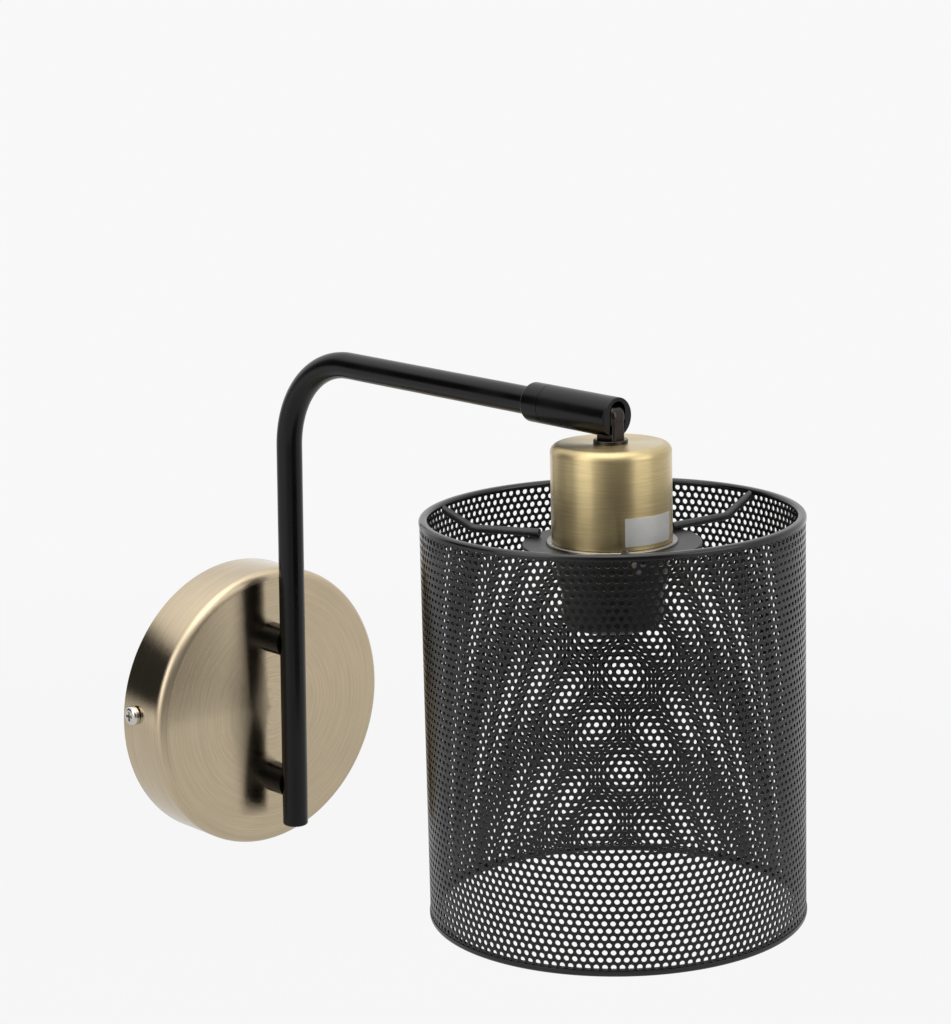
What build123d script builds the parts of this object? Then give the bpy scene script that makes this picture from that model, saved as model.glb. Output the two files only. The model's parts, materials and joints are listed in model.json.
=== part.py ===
from build123d import *
import math
import os

# Wall lamp with a perforated metal shade. Millimetres; the wall is the plane Y = 0, the lamp stands
# out towards -Y, +Z is up, and the origin is the centre of the canopy on the wall.

# Canopy on the wall
canopy_diameter = 118.0
canopy_depth = 25.0
canopy_wall = 1.2
canopy_edge_radius = 3.2

# Bracket behind the canopy
bracket_width = 16.0
bracket_thickness = 1.5
bracket_rise = 5.0
bracket_tab_length = 12.5
bracket_tab_gap = 0.6
wall_slot_spacing = 60.0
wall_slot_length = 14.0
wall_slot_width = 4.5

# Canopy side screws
side_screw_diameter = 4.0
side_screw_length = 9.0
side_screw_head_diameter = 8.0
side_screw_head_height = 2.6
side_screw_out = 7.4
recess_width = 1.1
recess_depth = 1.2
screw_crown_share = 0.6

# Terminal block on the bracket
pole_pitch = 9.0
block_width = 28.0
block_height = 15.0
block_depth = 13.0
sleeve_diameter = 4.0
sleeve_bore = 2.4
sleeve_length = 13.0
sleeve_out = 8.0
pole_screw_diameter = 3.0
pole_screw_spread = 8.0
block_screw_diameter = 2.8
block_screw_head_diameter = 4.8
block_screw_head_height = 1.8

# Earth point on the bracket
earth_screw_diameter = 4.0
earth_screw_head_diameter = 7.6
earth_screw_head_height = 2.4
earth_screw_side = 45.0
earth_washer_diameter = 9.0
earth_washer_thickness = 0.8

# Wires
wire_diameter = 1.8
wire_spread = 2.0
wire_lead_out = 5.0
wire_turn_radius = 4.8
wire_elbow_radius = 3.0

# Stand-offs between the canopy and the upright
standoff_spacing = 61.0
standoff_diameter = 12.6
standoff_cheek = 2.6
standoff_stub_diameter = 8.0
standoff_stub_length = 8.4
standoff_bore = 5.6
standoff_nut_flats = 13.0
standoff_nut_height = 4.0
standoff_washer_diameter = 16.0
standoff_washer_thickness = 1.2

# Bent arm tube
tube_diameter = 10.5
tube_wall = 1.2
tube_offset = 38.5
tube_drop = 47.0
arm_height = 152.0
arm_reach = 219.0
bend_radius = 38.0
plug_flange = 1.2
plug_edge_radius = 0.8
plug_spigot = 6.0

# Swivel at the end of the arm
swivel_diameter = 14.8
collar_length = 8.8
collar_web = 3.2
collar_edge_radius = 1.0
tube_entry = 3.2
fork_tail = 30.6
fork_nose = 3.6
fork_edge_radius = 0.5
swivel_seam = 0.2
spigot_diameter = 8.0
spigot_groove_depth = 0.5
spigot_tail = 0.5
fork_bore = 5.2
friction_washer_thickness = 0.5
retaining_ring_thickness = 0.8
retaining_ring_diameter = 9.8

# Tilt hinge; the head hangs a little outwards from the upright
head_rest_tilt = 2.0
tongue_thickness = 7.4
tongue_eye_diameter = 9.6
tongue_edge_radius = 2.2
neck_width = 6.0
neck_depth = 9.0
neck_edge_radius = 1.0
slot_crown = 6.0
slot_back = 5.4
hinge_pin_diameter = 3.0
knuckle_bore = 3.2
knuckle_stub_bore = 5.0
knuckle_drop = 8.2
knuckle_flange_diameter = 12.6
knuckle_flange_height = 1.4
knuckle_stub_diameter = 10.0
knuckle_stub_length = 13.0
lock_washer_diameter = 16.0
lock_washer_thickness = 1.0
knuckle_nut_flats = 14.0
knuckle_nut_height = 3.5

# Socket cup
cup_diameter = 44.0
cup_height = 35.4
cup_wall = 1.0
cup_corner_radius = 3.0
seat_ring_diameter = 48.0
seat_ring_thickness = 1.0
seat_ring_edge_radius = 0.6
foil_thickness = 0.2
foil_height = 10.2
foil_rise = 1.6
foil_angle = 55.0
foil_centre_angle = -96.5

# Lampholder
holder_diameter = 37.2
holder_drop = 32.0
holder_foot_radius = 3.6
holder_cap_wall = 2.0
holder_cap_edge_radius = 4.0
holder_cap_height = 18.0
holder_neck_diameter = 17.0
holder_neck_height = 3.0
holder_grip = 7.0
insert_height = 9.0
insert_diameter = 33.0
insert_drop = 10.5
shell_bore = 26.6
shell_wall = 0.6
shell_length = 22.0
contact_width = 5.0
contact_thickness = 0.6
contact_reach = 3.0
contact_rise = 3.6
terminal_screw_diameter = 2.5
terminal_head_diameter = 5.0
terminal_head_height = 2.0
terminal_side = 9.0

# Shade ring under the spider
shade_ring_flange_diameter = 46.0
shade_ring_flange_height = 2.2
shade_ring_edge_radius = 0.7
shade_ring_height = 14.5
shade_ring_top_diameter = 41.6
shade_ring_foot_diameter = 39.4

# Spider that carries the shade
spider_ring_diameter = 65.0
spider_ring_thickness = 1.5
spoke_diameter = 3.0
spoke_count = 3
spoke_first_angle = -7.0
spoke_start_radius = 28.4
spoke_bend_at_radius = 55.0
spoke_bend_radius = 6.0
spoke_rim_drop = 1.7

# Perforated shade and its rims
shade_diameter = 140.0
shade_height = 150.5
shade_above_cup_foot = 9.5
mesh_thickness = 0.6
opening_columns = 24
opening_rows = 8
opening_side = 11.4
rim_width = 3.3
rim_height = 3.4
rim_corner_radius = 1.2
rim_lip_height = 2.2
rim_lip_radius = 0.15
rim_proud = 0.3
rim_slot_depth = 2.4

# Clearances
running_clearance = 0.05
thread_clearance = 0.05
hole_clearance = 0.2
weld_gap = 0.05
flat_gap = 0.1
slot_clearance = 0.3

# Places that follow from the sizes above
canopy_radius = canopy_diameter / 2
canopy_inner_radius = canopy_radius - canopy_wall
canopy_floor = canopy_depth - canopy_wall
tube_radius = tube_diameter / 2
tube_inner_radius = tube_radius - tube_wall
seam_out = arm_reach - fork_tail
collar_start = seam_out - collar_length
tube_end_out = collar_start + tube_entry
web_back_out = seam_out - collar_web
washer_out = web_back_out - flat_gap - friction_washer_thickness
ring_out = washer_out - flat_gap - retaining_ring_thickness
spigot_end_out = ring_out - spigot_tail
swivel_radius = swivel_diameter / 2
slot_half = tongue_thickness / 2 + slot_clearance
flange_top = arm_height - knuckle_drop
cup_top = flange_top - knuckle_flange_height
cup_foot = cup_top - cup_height
spider_top = cup_foot - seat_ring_thickness
spider_foot = spider_top - spider_ring_thickness
holder_radius = holder_diameter / 2
holder_foot = cup_foot - holder_drop
lock_washer_foot = cup_top - cup_wall - lock_washer_thickness
knuckle_nut_foot = lock_washer_foot - knuckle_nut_height
holder_top = knuckle_nut_foot
holder_joint = holder_top - holder_cap_height
insert_foot = holder_joint - insert_drop
contact_top = insert_foot + contact_rise
shade_top = cup_foot + shade_above_cup_foot
shade_foot = shade_top - shade_height
shade_radius = shade_diameter / 2
mesh_radius = shade_radius - rim_proud
rim_inner_radius = shade_radius - rim_width

upward = (Align.CENTER, Align.CENTER, Align.MIN)


def turned(outline):
    """Solid turned about Z from (radius, height) points; a third number rounds that corner."""
    face = make_face(Polyline([(point[0], point[1]) for point in outline], close=True))
    for point in outline:
        if len(point) == 3:
            corner = face.vertices().sort_by_distance((point[0], point[1], 0))[0]
            face = fillet(corner, point[2])
    return revolve(Plane.XZ * face, Axis.Z, 360)


def rod(radius, length):
    return Cylinder(radius, length, align=upward)


def tube_ring(outer_radius, inner_radius, height):
    return rod(outer_radius, height) - rod(inner_radius, height)


def hexagon(flats, height, bore_radius):
    return extrude(RegularPolygon(flats / 2, 6, major_radius=False), height) - rod(bore_radius, height)


def facing_out(x, z, out):
    """Location whose Z points away from the wall, at a place on the wall and a distance from it."""
    return Plane(origin=(x, -out, z), x_dir=(1, 0, 0), z_dir=(0, -1, 0)).location


def on_head(z=0.0):
    """Location on the axis of the lamp head, at a height that it would have if the head hung upright."""
    hinge = Pos(0, -arm_reach, arm_height) * Rot(-head_rest_tilt, 0, 0)
    return hinge * Pos(0, 0, z - arm_height)


def wire_along(points, radii):
    path = FilletPolyline(*points, radius=radii)
    return sweep(Plane(origin=path @ 0, z_dir=path % 0) * Circle(wire_diameter / 2), path=path)


def pan_head_screw(diameter, length, head_diameter, head_height):
    """Screw with its head above Z = 0 and its shank below, with a cross recess."""
    head_radius = head_diameter / 2
    screw = turned([
        (0, -length),
        (diameter / 2, -length),
        (diameter / 2, 0),
        (head_radius, 0),
        (head_radius, head_height, head_height * screw_crown_share),
        (0, head_height),
    ])
    recess = Pos(0, 0, head_height - recess_depth) * (
        Box(head_radius, recess_width, 2 * recess_depth, align=upward)
        + Box(recess_width, head_radius, 2 * recess_depth, align=upward)
    )
    return screw - recess


def make_canopy():
    shell = turned([
        (0, canopy_depth),
        (canopy_radius, canopy_depth, canopy_edge_radius),
        (canopy_radius, 0),
        (canopy_inner_radius, 0),
        (canopy_inner_radius, canopy_floor, canopy_edge_radius - canopy_wall / 2),
        (0, canopy_floor),
    ])
    canopy = facing_out(0, 0, 0) * shell
    hole_radius = standoff_stub_diameter / 2 + hole_clearance
    for z in (-standoff_spacing / 2, standoff_spacing / 2):
        canopy -= facing_out(0, z, canopy_floor - canopy_wall) * rod(hole_radius, 3 * canopy_wall)
    side_hole = Cylinder(side_screw_diameter / 2 + hole_clearance, 2 * canopy_diameter, rotation=(0, 90, 0))
    return canopy - Pos(0, -side_screw_out, bracket_rise) * side_hole


tab_corner_height = abs(bracket_rise) + bracket_width / 2
tab_outer = math.sqrt(canopy_inner_radius ** 2 - tab_corner_height ** 2) - bracket_tab_gap
block_screw_x = pole_pitch / 2


def make_wall_bracket():
    bar = Box(2 * tab_outer, bracket_width, bracket_thickness, align=upward)
    tab = Box(bracket_thickness, bracket_width, bracket_tab_length, align=upward)
    tab_centre = tab_outer - bracket_thickness / 2
    for side in (-1, 1):
        bar += Pos(side * tab_centre, 0, 0) * tab
        slot = SlotOverall(wall_slot_length, wall_slot_width)
        bar -= Pos(side * wall_slot_spacing / 2, 0, 0) * extrude(slot, bracket_thickness)
    bends = bar.edges().filter_by(Axis.Y).group_by(Axis.Z)[0].sort_by(Axis.X)
    bar = fillet([bends[0], bends[-1]], bracket_thickness)
    tapped = Cylinder(side_screw_diameter / 2 + thread_clearance, 3 * tab_outer, rotation=(0, 90, 0))
    bar -= Pos(0, 0, side_screw_out) * tapped
    bar -= Pos(block_screw_x, 0, 0) * rod(block_screw_diameter / 2 + thread_clearance, bracket_thickness)
    bar -= Pos(-earth_screw_side, 0, 0) * rod(earth_screw_diameter / 2 + thread_clearance, bracket_thickness)
    return facing_out(0, bracket_rise, 0) * bar


def make_canopy_screws():
    screw = pan_head_screw(
        side_screw_diameter, side_screw_length, side_screw_head_diameter, side_screw_head_height)
    screws = []
    for side in (-1, 1):
        seat = Plane(
            origin=(side * (canopy_radius + weld_gap), -side_screw_out, bracket_rise),
            x_dir=(0, 0, 1),
            z_dir=(side, 0, 0),
        )
        screws.append(seat.location * screw)
    return Compound(screws)


pole_sides = [-pole_pitch, 0.0, pole_pitch]
block_front_out = bracket_thickness + block_depth
pole_tip_out = sleeve_out + wire_diameter / 2 + weld_gap


def pole_places():
    """Places of the clamping screws, two in each pole."""
    for x in pole_sides:
        for shift in (-pole_screw_spread / 2, pole_screw_spread / 2):
            yield x, bracket_rise + shift


def make_terminal_block():
    body = Box(block_width, block_height, block_depth, align=upward)
    body = fillet(body.edges().filter_by(Axis.Z), pole_screw_diameter / 2)
    block = facing_out(0, bracket_rise, bracket_thickness) * body
    sleeve_bed = Cylinder(sleeve_diameter / 2 + weld_gap, 2 * block_height)
    for x in pole_sides:
        block -= Pos(x, -sleeve_out, bracket_rise) * sleeve_bed
    for x, z in pole_places():
        block -= facing_out(x, z, sleeve_out) * rod(pole_screw_diameter / 2 + hole_clearance, block_depth)
    block -= facing_out(block_screw_x, bracket_rise, 0) * rod(
        block_screw_diameter / 2 + hole_clearance, 2 * block_depth)
    well = rod(block_screw_head_diameter / 2 + hole_clearance, block_depth)
    return block - facing_out(block_screw_x, bracket_rise, block_front_out - block_screw_head_height) * well


def make_terminal_sleeves():
    sleeves = []
    for x in pole_sides:
        sleeve = Pos(x, -sleeve_out, bracket_rise) * (
            Cylinder(sleeve_diameter / 2, sleeve_length) - Cylinder(sleeve_bore / 2, sleeve_length))
        for screw_x, z in pole_places():
            if screw_x == x:
                tapped = rod(pole_screw_diameter / 2 + thread_clearance, sleeve_diameter)
                sleeve -= facing_out(x, z, sleeve_out) * tapped
        sleeves.append(sleeve)
    return Compound(sleeves)


def make_terminal_screws():
    length = block_front_out - pole_tip_out
    screw = rod(pole_screw_diameter / 2, length)
    screw -= Pos(0, 0, length - recess_depth / 2) * Box(
        pole_screw_diameter, recess_width / 2, recess_depth, align=upward)
    return Compound([facing_out(x, z, pole_tip_out) * screw for x, z in pole_places()])


def make_terminal_block_screw():
    length = block_depth + bracket_thickness - block_screw_head_height
    screw = pan_head_screw(block_screw_diameter, length, block_screw_head_diameter, block_screw_head_height)
    return facing_out(block_screw_x, bracket_rise, block_front_out - block_screw_head_height) * screw


def make_earth_washer():
    washer = tube_ring(
        earth_washer_diameter / 2, earth_screw_diameter / 2 + hole_clearance, earth_washer_thickness)
    return facing_out(-earth_screw_side, bracket_rise, bracket_thickness) * washer


def make_earth_screw():
    seat = bracket_thickness + earth_washer_thickness
    screw = pan_head_screw(earth_screw_diameter, seat, earth_screw_head_diameter, earth_screw_head_height)
    return facing_out(-earth_screw_side, bracket_rise, seat) * screw


def make_earth_lead():
    """Wire from the earth pole, under the block and along the bracket to the earth washer."""
    low = bracket_rise - block_height / 2 - wire_lead_out
    lead_out = bracket_thickness + wire_diameter / 2 + weld_gap
    washer_foot = bracket_rise - earth_washer_diameter / 2 - wire_diameter / 2 - weld_gap
    run = (earth_screw_side - pole_pitch) / 2
    return wire_along([
        (-pole_pitch, -sleeve_out, bracket_rise),
        (-pole_pitch, -sleeve_out, low),
        (-pole_pitch - run, -lead_out, washer_foot),
        (-earth_screw_side, -lead_out, washer_foot),
    ], [wire_elbow_radius, wire_elbow_radius])


def make_supply_wire(pole_x, bore_x):
    """Wire from a pole, through the upper stand-off and along the inside of the arm tube."""
    standoff_z = standoff_spacing / 2
    return wire_along([
        (pole_x, -sleeve_out, bracket_rise),
        (pole_x, -sleeve_out, bracket_rise + block_height / 2 + wire_lead_out),
        (bore_x, -sleeve_out, standoff_z),
        (bore_x, -tube_offset, standoff_z),
        (bore_x, -tube_offset, arm_height),
        (bore_x, -tube_end_out, arm_height),
    ], [wire_elbow_radius, wire_turn_radius, wire_elbow_radius, bend_radius])


def arm_path():
    return FilletPolyline(
        (0, -tube_offset, -tube_drop),
        (0, -tube_offset, arm_height),
        (0, -tube_end_out, arm_height),
        radius=bend_radius,
    )


def make_standoff(z):
    """Boss between canopy and upright, saddled on the tube, with a hollow stub through the canopy."""
    boss_length = tube_offset - standoff_cheek - canopy_depth
    boss = facing_out(0, z, canopy_depth) * rod(standoff_diameter / 2, boss_length)
    boss += facing_out(0, z, canopy_depth - standoff_stub_length) * rod(
        standoff_stub_diameter / 2, standoff_stub_length)
    boss -= Pos(0, -tube_offset, z) * Cylinder(tube_radius + weld_gap, 2 * standoff_diameter)
    return boss - facing_out(0, z, 0) * rod(standoff_bore / 2, tube_offset)


standoff_places = (-standoff_spacing / 2, standoff_spacing / 2)
nut_out = canopy_floor - standoff_washer_thickness


def make_standoff_washers():
    washer = tube_ring(
        standoff_washer_diameter / 2, standoff_stub_diameter / 2 + hole_clearance, standoff_washer_thickness)
    return Compound([facing_out(0, z, nut_out) * washer for z in standoff_places])


def make_standoff_nuts():
    nut = hexagon(standoff_nut_flats, standoff_nut_height, standoff_stub_diameter / 2 + thread_clearance)
    return Compound([facing_out(0, z, nut_out - standoff_nut_height) * nut for z in standoff_places])


def make_arm_tube():
    path = arm_path()
    start = Plane(origin=path @ 0, z_dir=path % 0)
    tube = sweep(start * Circle(tube_radius), path=path) - sweep(start * Circle(tube_inner_radius), path=path)
    return tube - facing_out(0, standoff_spacing / 2, 0) * rod(standoff_bore / 2, tube_offset)


def make_tube_end_plug():
    plug = turned([
        (0, -plug_flange),
        (tube_radius, -plug_flange, plug_edge_radius),
        (tube_radius, 0),
        (tube_inner_radius - thread_clearance, 0),
        (tube_inner_radius - thread_clearance, plug_spigot),
        (0, plug_spigot),
    ])
    return Pos(0, -tube_offset, -tube_drop) * plug


def make_swivel_collar():
    collar = turned([
        (tube_radius + thread_clearance, 0),
        (swivel_radius, 0, collar_edge_radius),
        (swivel_radius, collar_length - swivel_seam),
        (spigot_diameter / 2 + running_clearance, collar_length - swivel_seam),
        (spigot_diameter / 2 + running_clearance, collar_length - collar_web),
        (tube_radius + thread_clearance, collar_length - collar_web),
    ])
    return facing_out(0, arm_height, collar_start) * collar


def make_swivel_fork():
    """Round bar that turns on its spigot in the collar, slotted at its nose for the tongue."""
    spigot_radius = spigot_diameter / 2
    groove_radius = spigot_radius - spigot_groove_depth
    groove_foot = ring_out - spigot_end_out
    groove_top = groove_foot + retaining_ring_thickness + flat_gap / 2
    shoulder = seam_out - spigot_end_out
    length = shoulder + fork_tail + fork_nose
    bar = turned([
        (fork_bore / 2, 0),
        (spigot_radius, 0),
        (spigot_radius, groove_foot - flat_gap / 2),
        (groove_radius, groove_foot - flat_gap / 2),
        (groove_radius, groove_top),
        (spigot_radius, groove_top),
        (spigot_radius, shoulder),
        (swivel_radius, shoulder),
        (swivel_radius, length, fork_edge_radius),
        (fork_bore / 2, length),
    ])
    fork = facing_out(0, arm_height, spigot_end_out) * bar
    slot_length = fork_nose + slot_back
    slot_middle = -arm_reach - (fork_nose - slot_back) / 2
    crown_centre = arm_height + slot_crown - slot_half
    fork -= Pos(0, slot_middle, crown_centre) * Cylinder(slot_half, slot_length, rotation=(90, 0, 0))
    fork -= Pos(0, slot_middle, crown_centre) * Box(
        2 * slot_half, slot_length, 2 * swivel_diameter, align=(Align.CENTER, Align.CENTER, Align.MAX))
    pin_bore = Cylinder(hinge_pin_diameter / 2, 2 * swivel_diameter, rotation=(0, 90, 0))
    return fork - Pos(0, -arm_reach, arm_height) * pin_bore


def make_friction_washer():
    washer = tube_ring(
        retaining_ring_diameter / 2, spigot_diameter / 2 + weld_gap, friction_washer_thickness)
    return facing_out(0, arm_height, washer_out) * washer


def make_retaining_ring():
    groove_radius = spigot_diameter / 2 - spigot_groove_depth
    ring = tube_ring(retaining_ring_diameter / 2, groove_radius + weld_gap, retaining_ring_thickness)
    return facing_out(0, arm_height, ring_out) * ring


def make_hinge_pins():
    """Two stub pins, turned flush with the ears, that leave the tongue's middle free for the wires."""
    inner = knuckle_bore / 2 + flat_gap
    bar = Cylinder(swivel_radius, swivel_diameter, rotation=(90, 0, 0))
    fork_round = Pos(0, -arm_reach, arm_height) * bar
    pins = []
    for side in (-1, 1):
        axis = Plane(origin=(side * inner, -arm_reach, arm_height), x_dir=(0, 0, 1), z_dir=(side, 0, 0))
        pins.append(fork_round & axis.location * rod(hinge_pin_diameter / 2, swivel_radius))
    return Compound(pins)


def make_knuckle():
    """Domed eye on a flat stem, a round flange on the cup and a threaded stub below it."""
    eye = Cylinder(tongue_eye_diameter / 2, tongue_thickness, rotation=(0, 90, 0))
    crown = fillet(eye.edges().filter_by(GeomType.CIRCLE), tongue_edge_radius)
    neck = Pos(0, 0, -knuckle_drop) * Box(neck_width, neck_depth, knuckle_drop, align=upward)
    neck = fillet(neck.edges().filter_by(Axis.Z), neck_edge_radius)
    flange = turned([
        (0, -knuckle_drop - knuckle_flange_height),
        (knuckle_flange_diameter / 2, -knuckle_drop - knuckle_flange_height),
        (knuckle_flange_diameter / 2, -knuckle_drop, slot_clearance),
        (0, -knuckle_drop),
    ])
    stub_foot = -knuckle_drop - knuckle_flange_height - knuckle_stub_length
    stub = Pos(0, 0, stub_foot) * rod(knuckle_stub_diameter / 2, knuckle_stub_length)
    knuckle = crown + neck + flange + stub
    knuckle -= Pos(0, 0, stub_foot) * rod(knuckle_bore / 2, -stub_foot)
    knuckle -= Pos(0, 0, stub_foot) * rod(knuckle_stub_bore / 2, knuckle_stub_length)
    knuckle -= Cylinder(knuckle_bore / 2, tongue_eye_diameter, align=upward, rotation=(-90, 0, 0))
    knuckle -= Cylinder(hinge_pin_diameter / 2 + running_clearance, 2 * tongue_thickness, rotation=(0, 90, 0))
    return on_head(arm_height) * knuckle


def make_lock_washer():
    washer = tube_ring(
        lock_washer_diameter / 2, knuckle_stub_diameter / 2 + hole_clearance, lock_washer_thickness)
    return on_head(lock_washer_foot) * washer


def make_knuckle_nut():
    nut = hexagon(knuckle_nut_flats, knuckle_nut_height, knuckle_stub_diameter / 2 + thread_clearance)
    return on_head(knuckle_nut_foot) * nut


def make_socket_cup():
    radius = cup_diameter / 2
    inner_radius = radius - cup_wall
    return on_head() * turned([
        (knuckle_stub_diameter / 2 + hole_clearance, cup_top),
        (radius, cup_top, cup_corner_radius),
        (radius, cup_foot),
        (inner_radius, cup_foot),
        (inner_radius, cup_top - cup_wall, cup_corner_radius - cup_wall),
        (knuckle_stub_diameter / 2 + hole_clearance, cup_top - cup_wall),
    ])


def make_cup_seat_ring():
    ring = turned([
        (holder_radius + hole_clearance, spider_top),
        (seat_ring_diameter / 2, spider_top),
        (seat_ring_diameter / 2, cup_foot, seat_ring_edge_radius),
        (holder_radius + hole_clearance, cup_foot),
    ])
    return on_head() * ring


def make_blank_foil():
    inner = cup_diameter / 2 + weld_gap
    sector = revolve(
        Plane.XZ * Pos(inner + foil_thickness / 2, foil_height / 2) * Rectangle(foil_thickness, foil_height),
        Axis.Z,
        foil_angle,
    )
    return on_head(cup_foot + foil_rise) * Rot(0, 0, foil_centre_angle - foil_angle / 2) * sector


def make_lampholder_cap():
    inner_radius = holder_radius - holder_cap_wall
    stub_radius = knuckle_stub_diameter / 2 + thread_clearance
    shoulder = holder_top - holder_neck_height
    return on_head() * turned([
        (stub_radius, holder_top),
        (holder_neck_diameter / 2, holder_top),
        (holder_neck_diameter / 2, shoulder),
        (holder_radius, shoulder, holder_cap_edge_radius),
        (holder_radius, holder_joint),
        (inner_radius, holder_joint),
        (inner_radius, shoulder - holder_cap_wall, holder_cap_wall),
        (holder_neck_diameter / 2, shoulder - holder_cap_wall),
        (holder_neck_diameter / 2, holder_top - holder_grip),
        (stub_radius, holder_top - holder_grip),
    ])


shell_radius = shell_bore / 2 + shell_wall


def make_lampholder_body():
    """Hollow skirt: a wide seat above for the insert, a narrower bore below for the screw shell."""
    seat_radius = insert_diameter / 2 + hole_clearance
    bore_radius = shell_radius + hole_clearance
    return on_head() * turned([
        (seat_radius, holder_joint),
        (holder_radius, holder_joint),
        (holder_radius, holder_foot, holder_foot_radius),
        (bore_radius, holder_foot),
        (bore_radius, insert_foot),
        (seat_radius, insert_foot),
    ])


def make_lampholder_insert():
    radius = insert_diameter / 2
    pocket_radius = shell_bore / 2 - shell_wall
    insert = turned([
        (0, contact_top),
        (pocket_radius, contact_top),
        (pocket_radius, insert_foot),
        (radius, insert_foot),
        (radius, insert_foot + insert_height),
        (0, insert_foot + insert_height),
    ])
    for side in (-1, 1):
        insert -= Pos(side * terminal_side, 0, insert_foot + insert_height / 2) * rod(
            terminal_screw_diameter / 2 + thread_clearance, insert_height)
    return on_head() * insert


def make_screw_shell():
    """Lamp thread shell, drawn plain, with a rim turned in under the insert."""
    inner_radius = shell_bore / 2
    return on_head() * turned([
        (inner_radius - shell_wall, insert_foot),
        (shell_radius, insert_foot),
        (shell_radius, insert_foot - shell_length),
        (inner_radius, insert_foot - shell_length),
        (inner_radius, insert_foot - shell_wall),
        (inner_radius - shell_wall, insert_foot - shell_wall),
    ])


def make_centre_contact():
    """Springy strip under the insert, stepped down to meet a lamp's end."""
    half = contact_width / 2
    strip = make_face(Polyline([
        (-half - contact_reach, contact_top),
        (half, contact_top),
        (half + contact_reach, contact_top - contact_reach),
        (half + contact_reach - contact_thickness, contact_top - contact_reach),
        (half - contact_thickness, contact_top - contact_thickness),
        (-half - contact_reach, contact_top - contact_thickness),
    ], close=True))
    return on_head() * Pos(0, half, 0) * extrude(Plane.XZ * strip, contact_width)


def make_holder_terminal_screws():
    screws = []
    for side in (-1, 1):
        screw = pan_head_screw(
            terminal_screw_diameter, insert_height / 2, terminal_head_diameter, terminal_head_height)
        screws.append(on_head(insert_foot + insert_height) * Pos(side * terminal_side, 0, 0) * screw)
    return Compound(screws)


def make_holder_wires():
    """Two wires from the knuckle's bore to the terminals on the insert."""
    start = cup_top - knuckle_stub_length / 2
    fan = cup_top - knuckle_stub_length - wire_turn_radius
    foot = insert_foot + insert_height + terminal_head_height + weld_gap
    shift = wire_spread / 2
    wires = []
    for side in (-1, 1):
        wires.append(on_head() * wire_along([
            (side * shift, 0, start),
            (side * shift, 0, fan + wire_turn_radius / 2),
            (side * terminal_side, 0, foot + wire_turn_radius),
            (side * terminal_side, 0, foot),
        ], [wire_elbow_radius, wire_elbow_radius]))
    return Compound(wires)


def make_shade_ring():
    inner_radius = holder_radius + thread_clearance
    flange_radius = shade_ring_flange_diameter / 2
    flange_foot = spider_foot - shade_ring_flange_height
    return on_head() * turned([
        (inner_radius, spider_foot),
        (flange_radius, spider_foot),
        (flange_radius, flange_foot, shade_ring_edge_radius),
        (shade_ring_top_diameter / 2, flange_foot),
        (shade_ring_foot_diameter / 2, spider_foot - shade_ring_height),
        (inner_radius, spider_foot - shade_ring_height),
    ])


def make_spider_ring():
    hole_radius = holder_radius + 2 * hole_clearance
    return on_head(spider_foot) * tube_ring(spider_ring_diameter / 2, hole_radius, spider_ring_thickness)


def make_spoke(number):
    """Bent wire from the spider ring out and up to the inside of the top rim."""
    lie = spider_top + spoke_diameter / 2 + weld_gap
    rim_end = shade_top - spoke_rim_drop
    path = FilletPolyline(
        (spoke_start_radius, 0, lie),
        (spoke_bend_at_radius, 0, lie),
        (rim_inner_radius + spoke_diameter / 2, 0, rim_end),
        radius=spoke_bend_radius,
    )
    wire = sweep(Plane(origin=path @ 0, z_dir=path % 0) * Circle(spoke_diameter / 2), path=path)
    wire &= Pos(0, 0, shade_foot) * rod(rim_inner_radius - weld_gap, 2 * shade_height)
    return on_head() * Rot(0, 0, spoke_first_angle + number * 360 / spoke_count) * wire


def make_rim():
    """Rolled rim standing on Z = 0: a short lip outside the mesh and a taller leg inside it."""
    slot_inner = mesh_radius - mesh_thickness - weld_gap
    slot_outer = mesh_radius + weld_gap
    lip_foot = rim_height - rim_lip_height
    return turned([
        (rim_inner_radius, 0, rim_corner_radius),
        (slot_inner, 0),
        (slot_inner, rim_slot_depth),
        (slot_outer, rim_slot_depth),
        (slot_outer, lip_foot),
        (shade_radius, lip_foot, rim_lip_radius),
        (shade_radius, rim_height, rim_corner_radius),
        (rim_inner_radius, rim_height, rim_corner_radius),
    ])


def make_mesh_shade():
    """Thin wall with a plain grid of openings, as open as the fine perforation that it stands for."""
    bottom = shade_foot + rim_height - rim_slot_depth + weld_gap
    top = shade_top - rim_height + rim_slot_depth - weld_gap
    sheet = tube_ring(mesh_radius, mesh_radius - mesh_thickness, top - bottom)
    row_height = (top - bottom) / opening_rows
    opening = Box(4 * mesh_thickness, opening_side, opening_side)
    openings = []
    for row in range(opening_rows):
        place = Pos(mesh_radius, 0, (row + 0.5) * row_height)
        for column in range(opening_columns):
            openings.append(Rot(0, 0, column * 360 / opening_columns) * place * opening)
    return on_head(bottom) * (sheet - openings)


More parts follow.
